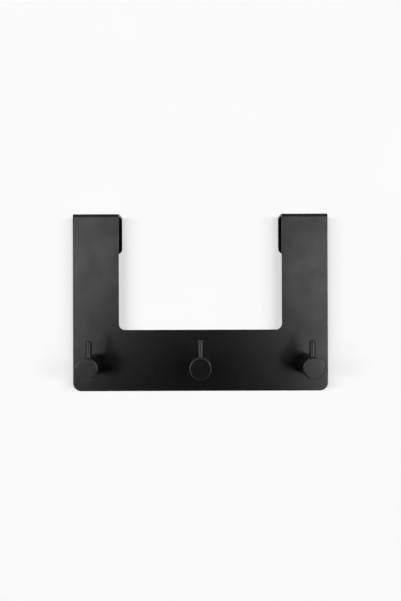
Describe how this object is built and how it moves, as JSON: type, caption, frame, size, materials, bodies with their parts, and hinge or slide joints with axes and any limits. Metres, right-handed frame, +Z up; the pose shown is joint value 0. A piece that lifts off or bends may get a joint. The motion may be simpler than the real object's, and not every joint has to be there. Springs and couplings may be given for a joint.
{
  "type": "over door hook",
  "caption": "Black folded-steel rack that hangs on a door's top edge by two straps, with round pegs along its lower bar and an upright stop pin near each peg's end.",
  "frame": {"origin": "front corner of the door's top edge, midway between the two uprights: the plate's back lies on y = 0 and the straps rest on z = 0", "axes": "+Z up, +X to the right of someone facing the rack, +Y from the rack into the door; the pegs point along -Y"},
  "size_m": [0.25, 0.11, 0.174],
  "materials": {
    "plate_coat": "satin black powder coat with a fine texture",
    "peg_coat": "satin black powder coat, smooth",
    "screw_steel": "black oxide steel"
  },
  "bodies": {
    "root": {"hook_plate": "plate_coat", "left_peg": "peg_coat", "middle_peg": "peg_coat", "right_peg": "peg_coat", "left_stop_pin": "peg_coat", "middle_stop_pin": "peg_coat", "right_stop_pin": "peg_coat", "peg_screws": "screw_steel"}
  },
  "joints": []
}
